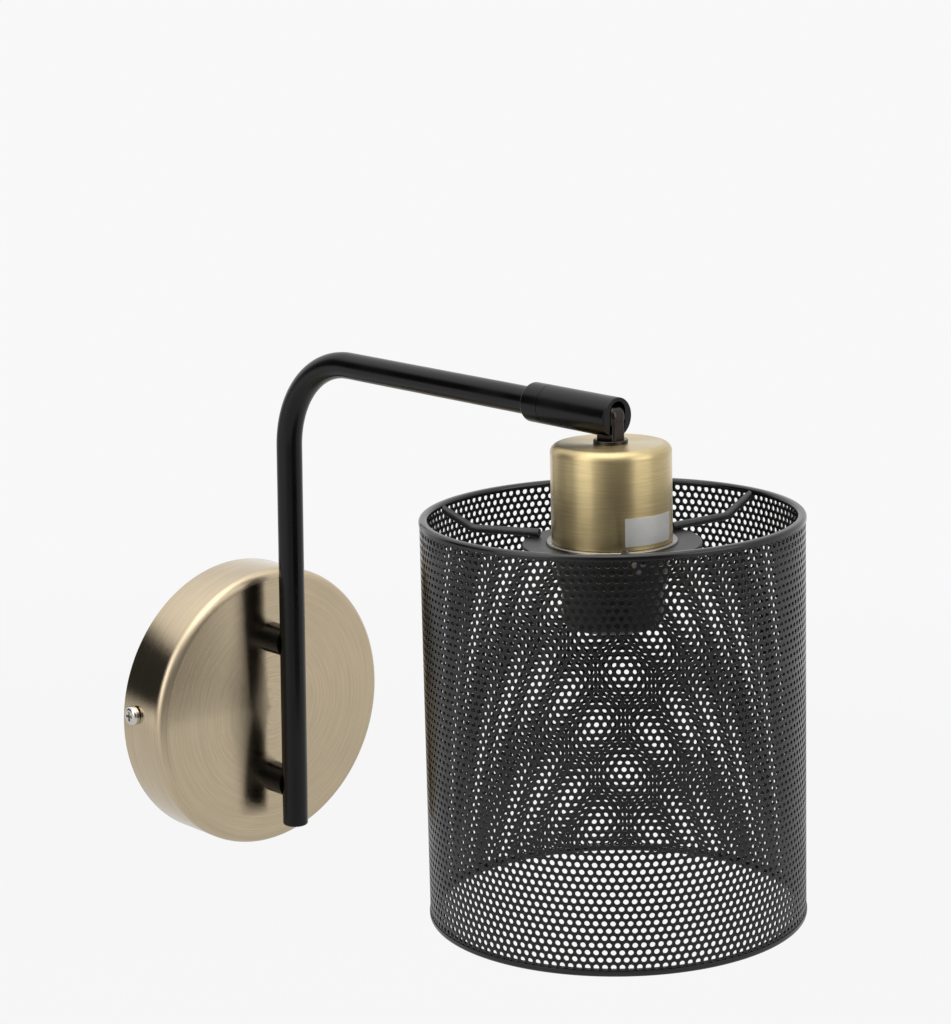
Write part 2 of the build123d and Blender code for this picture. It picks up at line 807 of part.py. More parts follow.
nodes = {
    "canopy": make_canopy(),
    "wall_bracket": make_wall_bracket(),
    "canopy_screws": make_canopy_screws(),
    "terminal_block": make_terminal_block(),
    "terminal_sleeves": make_terminal_sleeves(),
    "terminal_screws": make_terminal_screws(),
    "terminal_block_screw": make_terminal_block_screw(),
    "earth_washer": make_earth_washer(),
    "earth_screw": make_earth_screw(),
    "earth_lead": make_earth_lead(),
    "live_wire": make_supply_wire(pole_pitch, wire_spread / 2),
    "neutral_wire": make_supply_wire(0.0, -wire_spread / 2),
    "upper_standoff": make_standoff(standoff_spacing / 2),
    "lower_standoff": make_standoff(-standoff_spacing / 2),
    "standoff_washers": make_standoff_washers(),
    "standoff_nuts": make_standoff_nuts(),
    "arm_tube": make_arm_tube(),
    "tube_end_plug": make_tube_end_plug(),
    "swivel_collar": make_swivel_collar(),
    "swivel_fork": make_swivel_fork(),
    "friction_washer": make_friction_washer(),
    "retaining_ring": make_retaining_ring(),
    "hinge_pins": make_hinge_pins(),
    "knuckle": make_knuckle(),
    "lock_washer": make_lock_washer(),
    "knuckle_nut": make_knuckle_nut(),
    "socket_cup": make_socket_cup(),
    "cup_seat_ring": make_cup_seat_ring(),
    "blank_foil": make_blank_foil(),
    "lampholder_cap": make_lampholder_cap(),
    "lampholder_body": make_lampholder_body(),
    "lampholder_insert": make_lampholder_insert(),
    "screw_shell": make_screw_shell(),
    "centre_contact": make_centre_contact(),
    "holder_terminal_screws": make_holder_terminal_screws(),
    "holder_wires": make_holder_wires(),
    "shade_ring": make_shade_ring(),
    "spider_ring": make_spider_ring(),
    "top_rim": on_head(shade_top - rim_height) * make_rim(),
    "bottom_rim": on_head(shade_foot + rim_height) * Rot(180, 0, 0) * make_rim(),
    "mesh_shade": make_mesh_shade(),
}
for number in range(spoke_count):
    nodes[f"spider_spoke_{number + 1}"] = make_spoke(number)

os.makedirs("parts", exist_ok=True)
for name, shape in nodes.items():
    export_step(shape, f"parts/{name}.step")
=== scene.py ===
"""Finishes, fine pieces and studio for a wall lamp with a perforated shade."""

import json
import math
from typing import NamedTuple

import bmesh
import bpy
from bpy.props import FloatProperty, FloatVectorProperty, IntProperty, PointerProperty
from mathutils import Matrix, Vector


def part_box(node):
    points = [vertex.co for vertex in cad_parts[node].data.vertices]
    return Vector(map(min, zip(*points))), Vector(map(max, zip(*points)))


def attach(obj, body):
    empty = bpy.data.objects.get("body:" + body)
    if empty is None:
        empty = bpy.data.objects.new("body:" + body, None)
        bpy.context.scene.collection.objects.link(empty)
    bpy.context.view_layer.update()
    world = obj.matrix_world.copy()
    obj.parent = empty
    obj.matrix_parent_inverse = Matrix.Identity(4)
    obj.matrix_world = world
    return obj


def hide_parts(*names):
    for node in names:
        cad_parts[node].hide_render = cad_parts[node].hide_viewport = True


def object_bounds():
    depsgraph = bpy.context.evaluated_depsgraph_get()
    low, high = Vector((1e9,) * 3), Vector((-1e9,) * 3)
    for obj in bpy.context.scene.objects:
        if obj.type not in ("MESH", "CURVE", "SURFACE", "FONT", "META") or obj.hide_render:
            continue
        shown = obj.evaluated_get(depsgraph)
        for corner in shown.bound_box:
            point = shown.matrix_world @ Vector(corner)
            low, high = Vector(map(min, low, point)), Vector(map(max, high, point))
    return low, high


bl_info = {
    "name": "Perforated wall lamp",
    "version": (1, 0, 0),
    "blender": (4, 5, 0),
    "location": "View3D > Sidebar > Lamp",
    "description": "Brass, black paint, perforated sheet and a studio for a packed wall lamp",
    "category": "Object",
}

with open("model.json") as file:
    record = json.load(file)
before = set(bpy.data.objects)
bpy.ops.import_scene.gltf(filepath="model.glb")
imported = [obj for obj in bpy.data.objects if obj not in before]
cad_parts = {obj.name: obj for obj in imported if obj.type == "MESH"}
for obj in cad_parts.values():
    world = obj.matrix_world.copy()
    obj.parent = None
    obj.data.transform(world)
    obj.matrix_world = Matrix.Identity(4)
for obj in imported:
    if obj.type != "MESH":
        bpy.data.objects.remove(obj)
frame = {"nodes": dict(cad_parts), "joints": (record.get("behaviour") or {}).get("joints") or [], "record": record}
CAD_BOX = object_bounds()


def head_frame():
    """Matrix of the lamp head's own frame: the hinge is its origin and the lamp socket points down its Z."""
    hinge = next(joint["pos_m"] for joint in frame["joints"] if joint["name"] == "head_tilt")
    _, out, up = next(mount["axis"] for mount in frame["record"]["mounts"] if mount["name"] == "lamp_socket")
    return Matrix.Translation(hinge) @ Matrix.Rotation(math.atan2(out, -up), 4, "X")


HEAD = head_frame()
OUT_OF_WALL = Matrix.Rotation(math.radians(90), 4, "X")
NOISE_LOW = 0.3
NOISE_HIGH = 0.7
MERGE_DISTANCE = 1e-7
SLIVER = 0.00001
CONTACT_BRASS = (0.74, 0.56, 0.28)


def colour(name, description, value):
    """A colour property in scene-linear values."""
    return FloatVectorProperty(
        name=name, description=description, default=value, subtype="COLOR", size=3, min=0.0, max=1.0)


def length(name, description, value):
    """A length property in metres."""
    return FloatProperty(
        name=name, description=description, default=value, min=0.0, unit="LENGTH", precision=5)


def angle(name, description, degrees):
    """An angle property, given in degrees."""
    return FloatProperty(name=name, description=description, default=math.radians(degrees), subtype="ANGLE")


def share(name, description, value):
    """A number property from 0 to 1."""
    return FloatProperty(name=name, description=description, default=value, min=0.0, max=1.0)


class StudioSettings(bpy.types.PropertyGroup):
    """Camera, floor and lights"""

    camera_place: FloatVectorProperty(
        name="Camera place", description="Where the camera stands", subtype="XYZ", unit="LENGTH",
        default=(-0.71315, -0.90024, 0.34685))
    camera_azimuth: angle("Camera azimuth", "Turn of the camera about the upright", -43.498)
    camera_elevation: angle("Camera elevation", "Height angle of the camera", 13.143)
    camera_roll: angle("Camera roll", "Turn of the camera about its own view line", -0.063)
    camera_lens: FloatProperty(
        name="Focal length", description="Lens on a 36 mm sensor", default=98.31, unit="CAMERA")
    backdrop: colour("Backdrop", "White that the camera sees behind the lamp", (0.94, 0.94, 0.94))
    floor_colour: colour("Floor", "Pale floor under the lamp", (0.86, 0.86, 0.85))
    floor_drop: length("Floor drop", "How far the floor lies below the lamp's lowest point", 0.2)
    floor_radius: length("Floor radius", "Radius of the floor, which fades into the backdrop", 1.4)
    floor_dimming: share("Floor dimming", "How much darker the floor is in mirrors", 0.25)
    floor_white: share("Floor white", "How much of the floor shows as plain backdrop white", 0.92)
    overhead_power: FloatProperty(name="Overhead", description="Overhead softbox", default=12.0, unit="POWER")
    side_power: FloatProperty(name="Sides", description="Softbox on each side", default=7.0, unit="POWER")
    room_strength: FloatProperty(name="Room", description="Soft light from all round", default=0.5)


class BrassSettings(bpy.types.PropertyGroup):
    """Brushed brass of the canopy and the cup"""

    canopy_tint: colour("Canopy brass", "Brass of the canopy", (0.66, 0.54, 0.37))
    cup_tint: colour("Cup brass", "Brass of the cup", (0.68, 0.54, 0.28))
    canopy_roughness: share("Canopy roughness", "Blur of the canopy", 0.13)
    cup_roughness: share("Cup roughness", "Blur of the cup", 0.3)
    canopy_groove: length("Canopy grooves", "Height of the rings on the canopy", 0.000012)
    cup_groove: length("Cup grooves", "Height of the hoops on the cup", 0.000004)
    cup_spread: share("Cup spread", "How far the hoops stretch a highlight up and down", 0.75)
    canopy_fan: share("Canopy fan", "Steepest slope of the canopy's rings", 0.125)
    cup_fan: share("Cup fan", "Steepest slope of the rings on the cup's top", 0.12)
    canopy_edge: share("Canopy edge", "Added blur on the canopy's rounded edge", 0.25)
    cup_edge: share("Cup edge", "Added blur on the cup's shoulder", 0.12)
    lacquer: share("Lacquer", "Clear coat over the brass", 0.25)


class PaintSettings(bpy.types.PropertyGroup):
    """Black paint of the arm and the shade"""

    arm_black: colour("Arm black", "Satin paint on the tube and swivel", (0.0012, 0.0013, 0.0012))
    shade_black: colour("Shade black", "Powder coat on the sheet and rims", (0.0018, 0.0018, 0.0017))
    spider_black: colour("Spider black", "Paint on the spider", (0.014, 0.014, 0.014))
    holder_black: colour("Holder black", "Moulded lampholder", (0.003, 0.003, 0.003))
    gunmetal: colour("Gunmetal", "Dark metal of the tilting tongue", (0.058, 0.05, 0.046))


class ShadeSettings(bpy.types.PropertyGroup):
    """Perforated sheet and its rims"""

    hole_pitch: length("Hole pitch", "Distance between holes along a row", 0.00304)
    hole_diameter: length("Hole diameter", "Width of each hole", 0.002)
    hole_sides: IntProperty(name="Hole sides", description="Straight sides of each hole", default=12)
    hole_margin: length("Hole margin", "From each end of the shade to the nearest row of holes", 0.0036)
    thickness: length("Sheet thickness", "Thickness of the perforated sheet", 0.0006)
    panels: IntProperty(name="Panels", description="Equal parts that the sheet is built in", default=4)
    rim_width: length("Rim width", "How far the rims reach inwards", 0.0033)
    rim_lip: length("Rim lip", "Height of the rims outside the sheet", 0.0022)
    rim_leg: length("Rim leg", "Height of the rims behind the sheet", 0.0025)
    rim_fillet: length("Rim fillet", "Rounding of the rims", 0.0012)
    rim_edge: length("Rim edge", "Rounding of the rims' cut edges", 0.0001)


class BodySettings(bpy.types.PropertyGroup):
    """Canopy, arm and cup"""

    canopy_wall: length("Canopy wall", "Metal thickness of the canopy", 0.0012)
    canopy_fillet: length("Canopy fillet", "Rounding of the canopy's front edge", 0.0038)
    cup_wall: length("Cup wall", "Metal thickness of the cup", 0.001)
    cup_fillet: length("Cup fillet", "Rounding of the cup's shoulder", 0.003)
    cup_hole: share("Cup hole", "Radius of the hole in the cup's top, as a share of the cup's radius", 0.24)
    edge_fillet: length("Edge fillet", "Rounding of the open edges of the canopy and the cup", 0.0002)
    bend_radius: length("Bend radius", "Radius of the arm's bend", 0.038)
    foil_thickness: length("Foil thickness", "Thickness of the plain foil on the cup", 0.0002)
    foil_angle: angle("Foil width", "How far the foil reaches round the cup", 55)
    foil_centre: angle("Foil place", "Direction of the foil's middle from the cup's axis", -96.5)
    thread_pitch: length("Thread pitch", "Rise of the lamp thread in one turn", 0.00363)
    thread_depth: length("Thread depth", "Height of the lamp thread", 0.0009)
    thread_wall: length("Thread wall", "Metal thickness of the threaded shell", 0.0003)
    thread_gap: length("Thread gap", "How far the threaded shell stays inside the shell's outer size", 0.0001)


class Value:
    """A shader socket that takes part in Python arithmetic; each operation adds a Math node."""

    def __init__(self, recipe, socket):
        self.recipe = recipe
        self.socket = socket

    def _math(self, operation, first, second):
        return self.recipe.node("ShaderNodeMath", {"operation": operation}, {0: first, 1: second})

    def __add__(self, other):
        return self._math("ADD", self, other)

    def __radd__(self, other):
        return self._math("ADD", other, self)

    def __sub__(self, other):
        return self._math("SUBTRACT", self, other)

    def __rsub__(self, other):
        return self._math("SUBTRACT", other, self)

    def __mul__(self, other):
        return self._math("MULTIPLY", self, other)

    def __rmul__(self, other):
        return self._math("MULTIPLY", other, self)

    def __truediv__(self, other):
        return self._math("DIVIDE", self, other)

    def __pow__(self, other):
        return self._math("POWER", self, other)


class Recipe:
    """A node tree under construction."""

    def __init__(self, tree):
        self.tree = tree
        tree.nodes.clear()

    @staticmethod
    def _pick(sockets, key):
        """The shown socket with this number or name."""
        shown = [socket for socket in sockets if socket.enabled]
        if isinstance(key, int):
            return shown[key]
        return next(socket for socket in shown if socket.name == key)

    def node(self, kind, settings=None, sockets=None, output=0):
        """Add a node, set it up, fill or link its sockets, and return one of its outputs."""
        made = self.tree.nodes.new(kind)
        for key, setting in (settings or {}).items():
            setattr(made, key, setting)
        for key, given in (sockets or {}).items():
            socket = self._pick(made.inputs, key)
            if isinstance(given, Value):
                self.tree.links.new(given.socket, socket)
            else:
                socket.default_value = given
        if not made.outputs:
            return None
        return Value(self, self._pick(made.outputs, output))

    def placed(self, centre=(0, 0, 0), turn=(0, 0, 0)):
        """Object coordinates, turned and moved so that a piece's centre is the origin."""
        spot = self.node("ShaderNodeTexCoord", output="Object")
        moved = self.node("ShaderNodeMapping", sockets={"Vector": spot, "Location": [-c for c in centre]})
        return self.node("ShaderNodeMapping", sockets={"Vector": moved, "Rotation": turn})

    def parts(self, vector):
        """The three numbers of a vector."""
        split = self.node("ShaderNodeSeparateXYZ", sockets={0: vector})
        return [Value(self, socket) for socket in split.socket.node.outputs]

    def rays(self):
        """The kinds of light ray, by name."""
        path = self.node("ShaderNodeLightPath")
        return {socket.name: Value(self, socket) for socket in path.socket.node.outputs}

    def noise(self, vector, scale=1.0, detail=2.0):
        """Soft random number around one half."""
        return self.node("ShaderNodeTexNoise", {}, {"Vector": vector, "Scale": scale, "Detail": detail})

    def ramp(self, value, low, high, start=0.0, end=1.0):
        """Smooth step from start to end while a value goes from low to high."""
        return self.node(
            "ShaderNodeMapRange", {"interpolation_type": "SMOOTHSTEP"},
            {"Value": value, "From Min": low, "From Max": high, "To Min": start, "To Max": end})

    def vary(self, noise, start=0.0, end=1.0):
        """Spread the usual range of a noise from start to end."""
        return self.ramp(noise, NOISE_LOW, NOISE_HIGH, start, end)

    def stretch(self, vector, scale):
        """Vector scaled along each axis."""
        return self.node("ShaderNodeMapping", {}, {"Vector": vector, "Scale": scale})

    def blend(self, factor, first, second):
        """Colour between two colours."""
        sockets = {"Factor": factor, "A": (*first, 1.0), "B": (*second, 1.0)}
        return self.node("ShaderNodeMix", {"data_type": "RGBA"}, sockets)

    def bump(self, height, distance):
        """Normal from a height between 0 and 1 that stands for this distance."""
        return self.node("ShaderNodeBump", {}, {"Height": height, "Distance": distance})

    def vector(self, operation, *vectors):
        """Vector maths on vectors, the last of which may be a scale."""
        return self.node("ShaderNodeVectorMath", {"operation": operation}, dict(enumerate(vectors)))

    def finish(self, sockets, normals=None):
        """Principled surface with these sockets, or an even mix of it for several normals, as the output."""
        mixed = None
        for number, normal in enumerate(normals or [sockets["Normal"]]):
            facet = self.node("ShaderNodeBsdfPrincipled", {}, {**sockets, "Normal": normal})
            if mixed:
                facet = self.node("ShaderNodeMixShader", {}, {0: 1 / (number + 1), 1: mixed, 2: facet})
            mixed = facet
        self.node("ShaderNodeOutputMaterial", {}, {"Surface": mixed})


def new_finish(name):
    """A new material and the recipe of its nodes."""
    material = bpy.data.materials.new(name)
    material.use_nodes = True
    return material, Recipe(material.node_tree)


def brushed_brass(name, centre, turn, tint, roughness, groove, spread, lacquer, corner, tilts):
    """Antique brass brushed round an axis.

    The corner is the reach of the rounded edge, which is its radius plus its height, with its fillet and its
    added blur. The tilts are the slopes of the rings on the end, which the surface mixes evenly.
    """
    material, recipe = new_finish(name)
    x, y, along = recipe.parts(recipe.placed(centre, turn))
    radius = (x * x + y * y) ** 0.5
    across = radius + along

    def hoops(per_metre, wander):
        """Noise that changes slowly along each hoop round the axis."""
        sockets = {0: across * per_metre, 1: x / radius * wander, 2: y / radius * wander}
        return recipe.noise(recipe.node("ShaderNodeCombineXYZ", {}, sockets))

    fine = hoops(per_metre=9000, wander=2.4)
    middle = hoops(per_metre=1900, wander=1.4)
    cloud = recipe.noise(recipe.placed(centre), scale=22.0, detail=3.0)
    tone = recipe.vary(0.5 * fine + 0.3 * middle + 0.2 * cloud)
    reach, fillet, blur = corner
    rounded = recipe.ramp(across, reach - 1.3 * fillet, reach - 0.7 * fillet, 0.0, blur)
    gloss = recipe.vary(middle * 0.5 + cloud * 0.5, roughness - 0.02, roughness + 0.04)
    axis = Matrix.Rotation(-turn[0], 3, "X") @ Vector((0, 0, 1))
    grooved = recipe.bump(fine, groove)
    round_axis = recipe.vector("NORMALIZE", recipe.vector("CROSS_PRODUCT", axis, recipe.placed(centre)))
    facing = recipe.vector("DOT_PRODUCT", grooved, axis)
    across_rings = recipe.vector("SCALE", recipe.vector("CROSS_PRODUCT", round_axis, grooved), facing)
    facets = [
        recipe.vector("NORMALIZE", recipe.vector("ADD", grooved, recipe.vector("SCALE", across_rings, tilt)))
        for tilt in tilts]
    recipe.finish({
        "Base Color": recipe.blend(tone, [0.76 * c for c in tint], tint),
        "Metallic": 1.0,
        "Roughness": gloss + rounded,
        "Anisotropic": spread,
        "Anisotropic Rotation": 0.25,
        "Coat Weight": lacquer,
        "Coat Roughness": 0.3,
    }, facets)
    return material


def satin_paint(name, base, roughness, shine, grain=0.0006):
    """Sprayed paint: faint orange peel, cloudy gloss and a little dust."""
    material, recipe = new_finish(name)
    spot = recipe.placed()
    peel = recipe.noise(spot, scale=1.0 / grain)
    cloud = recipe.noise(spot, scale=40.0, detail=3.0)
    dust = recipe.ramp(recipe.noise(spot, scale=900.0), 0.62, 0.78)
    lighter = [c * 1.3 for c in base]
    recipe.finish({
        "Base Color": recipe.blend(cloud * 0.5 + dust * 0.5, base, lighter),
        "Roughness": recipe.vary(cloud, roughness - 0.05, roughness + 0.06),
        "Specular IOR Level": shine,
        "Normal": recipe.bump(peel, 0.000003),
    })
    return material


def plain_metal(name, base, roughness, scratch_depth=0.000003, spangle=0.0):
    """Bare or plated metal with fine scratches and patches of duller plating."""
    material, recipe = new_finish(name)
    spot = recipe.placed()
    scratches = recipe.noise(recipe.stretch(spot, (900.0, 900.0, 5200.0)))
    patches = recipe.noise(spot, scale=260.0, detail=3.0)
    grains = recipe.node("ShaderNodeTexVoronoi", {}, {"Vector": spot, "Scale": 450.0}, "Color")
    grain = recipe.node("ShaderNodeSeparateColor", {}, {0: grains})
    darker = [c * 0.72 for c in base]
    recipe.finish({
        "Base Color": recipe.blend(patches * (1.0 - spangle) + grain * spangle, darker, base),
        "Metallic": 1.0,
        "Roughness": recipe.vary(patches, roughness - 0.06, roughness + 0.08),
        "Normal": recipe.bump(scratches, scratch_depth),
    })
    return material


def moulded(name, base, roughness, clear=0.0):
    """Moulded plastic or glazed ceramic with faint flow marks."""
    material, recipe = new_finish(name)
    spot = recipe.placed()
    flow = recipe.noise(spot, scale=120.0, detail=3.0)
    skin = recipe.noise(spot, scale=2400.0)
    darker = [c * 0.8 for c in base]
    recipe.finish({
        "Base Color": recipe.blend(flow, darker, base),
        "Roughness": recipe.vary(flow, roughness - 0.05, roughness + 0.05),
        "Coat Weight": clear,
        "Normal": recipe.bump(skin, 0.000004),
    })
    return material


def silver_foil(name, centre):
    """Thin metal foil with soft creases and faint rolling marks."""
    material, recipe = new_finish(name)
    spot = recipe.placed(centre)
    creases = recipe.noise(spot, scale=300.0, detail=3.0)
    rolled = recipe.noise(recipe.stretch(spot, (600.0, 600.0, 9000.0)))
    recipe.finish({
        "Base Color": recipe.blend(rolled, (0.64, 0.64, 0.62), (0.86, 0.85, 0.82)),
        "Metallic": recipe.ramp(creases, 0.2, 0.8, 0.55, 0.85),
        "Roughness": recipe.vary(rolled, 0.36, 0.48),
        "Normal": recipe.bump(creases, 0.00006),
    })
    return material


def smooth(mesh, limit=math.radians(32)):
    """Smooth faces, with a crease where two faces meet at more than the limit."""
    for face in mesh.faces:
        face.smooth = True
    for edge in mesh.edges:
        edge.smooth = edge.calc_face_angle(0.0) < limit


def add_piece(name, mesh, body, slot, finish, *nodes):
    """Make an object of a bmesh that moves with a body and stands for CAD nodes."""
    data = bpy.data.meshes.new(name)
    mesh.to_mesh(data)
    mesh.free()
    piece = bpy.data.objects.new(name, data)
    bpy.context.scene.collection.objects.link(piece)
    data.materials.append(finish)
    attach(piece, body)
    if nodes:
        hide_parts(*nodes)


def paint_node(node, finish):
    """Give a CAD node's object this finish."""
    held = frame["nodes"][node]
    for slot in held.material_slots:
        slot.link = "OBJECT"
        slot.material = finish


def spun(mesh, turn, steps, **options):
    """Spin all of a bmesh about Z."""
    bmesh.ops.spin(
        mesh, geom=mesh.verts[:] + mesh.edges[:] + mesh.faces[:], cent=(0, 0, 0), axis=(0, 0, 1), angle=turn,
        steps=steps, **options)


def vertices(parts):
    """The vertices among the parts that a bmesh operator gives back."""
    return [part for part in parts if isinstance(part, bmesh.types.BMVert)]


def turned(outline, segments, closed=False):
    """Turn (radius, height, fillet) points about Z."""
    mesh = bmesh.new()
    corners = [mesh.verts.new((radius, 0, height)) for radius, height, _ in outline]
    ends = corners[1:] + (corners[:1] if closed else [])
    for first, second in zip(corners, ends):
        mesh.edges.new((first, second))
    for corner, (_, _, fillet) in zip(corners, outline):
        if fillet:
            bmesh.ops.bevel(
                mesh, geom=[corner], offset=fillet, offset_type="OFFSET", affect="VERTICES", segments=8,
                profile=0.5, material=-1)
    spun(mesh, math.tau, segments, use_merge=True)
    bmesh.ops.remove_doubles(mesh, verts=mesh.verts[:], dist=MERGE_DISTANCE)
    bmesh.ops.recalc_face_normals(mesh, faces=mesh.faces[:])
    smooth(mesh)
    return mesh


def moved(mesh, matrix):
    """Put a bmesh in its place."""
    bmesh.ops.transform(mesh, matrix=matrix, verts=mesh.verts[:])
    return mesh


def thickened(mesh, thickness):
    """Face an open sheet away from the upright axis and give it a wall on its inner side."""
    bmesh.ops.recalc_face_normals(mesh, faces=mesh.faces[:])
    mesh.faces.ensure_lookup_table()
    first = mesh.faces[0]
    if first.normal.dot(first.calc_center_median().xy.to_3d()) < 0:
        bmesh.ops.reverse_faces(mesh, faces=mesh.faces[:])
    bmesh.ops.solidify(mesh, geom=mesh.faces[:], thickness=thickness)


def profile(points):
    """Open line through points, ready to be spun."""
    mesh = bmesh.new()
    corners = [mesh.verts.new(point) for point in points]
    for first, second in zip(corners, corners[1:]):
        mesh.edges.new((first, second))
    return mesh


def bent_bar(radius, start, heading, legs, sides=48, bend_steps=28):
    """Round bar from a point along a heading; a leg is a length, or a (centre, axis, turn) bend."""
    mesh = bmesh.new()
    facing = heading.to_track_quat("Z", "Y").to_matrix().to_4x4()
    bmesh.ops.create_circle(
        mesh, cap_ends=False, radius=radius, segments=sides, matrix=Matrix.Translation(start) @ facing)
    rim = mesh.edges[:]
    for leg in legs:
        if isinstance(leg, tuple):
            centre, axis, turn = leg
            ends = [vertex for vertex in mesh.verts if any(edge in rim for edge in vertex.link_edges)]
            last = bmesh.ops.spin(
                mesh, geom=ends + rim, cent=centre, axis=axis, angle=turn, steps=bend_steps)["geom_last"]
            heading = Matrix.Rotation(turn, 3, axis) @ heading
        else:
            last = bmesh.ops.extrude_edge_only(mesh, edges=rim)["geom"]
            bmesh.ops.translate(mesh, vec=heading * leg, verts=vertices(last))
        far = set(vertices(last))
        rim = [edge for edge in mesh.edges if set(edge.verts) <= far]
    bmesh.ops.remove_doubles(mesh, verts=mesh.verts[:], dist=MERGE_DISTANCE)
    bmesh.ops.holes_fill(mesh, edges=mesh.edges[:], sides=0)
    bmesh.ops.recalc_face_normals(mesh, faces=mesh.faces[:])
    smooth(mesh)
    return mesh


def head_box(node):
    """Lowest and highest corner of a CAD node in the lamp head's own frame."""
    upright = HEAD.inverted()
    corners = list(zip(*(upright @ vertex.co for vertex in frame["nodes"][node].data.vertices)))
    return Vector([min(side) for side in corners]), Vector([max(side) for side in corners])


def on_head(height=0.0):
    """Matrix of a place on the lamp head's axis."""
    return HEAD @ Matrix.Translation((0, 0, height))


class DarkWall(NamedTuple):
    """Part of the room that looks darker in mirrors; angles in degrees, heights as a direction's Z."""

    azimuth: float
    full_width: float
    faded_width: float
    low: float
    high: float
    softness: float
    darkness: float


DARK_WALLS = (
    DarkWall(azimuth=-41, full_width=24, faded_width=46, low=-0.24, high=0.58, softness=0.14, darkness=0.55),
    DarkWall(azimuth=-36, full_width=10, faded_width=32, low=-0.24, high=0.58, softness=0.14, darkness=0.7),
    DarkWall(azimuth=-138, full_width=20, faded_width=34, low=-0.08, high=0.5, softness=0.08, darkness=0.97),
    DarkWall(azimuth=-165, full_width=14, faded_width=32, low=-0.4, high=-0.08, softness=0.08, darkness=0.4),
    DarkWall(azimuth=45, full_width=20, faded_width=60, low=-0.6, high=0.5, softness=0.3, darkness=0.2),
)
CEILING_HEIGHTS = (0.45, 0.75)
CEILING_GAIN = 0.3
FLOOR_FADE = (0.45, 0.95)


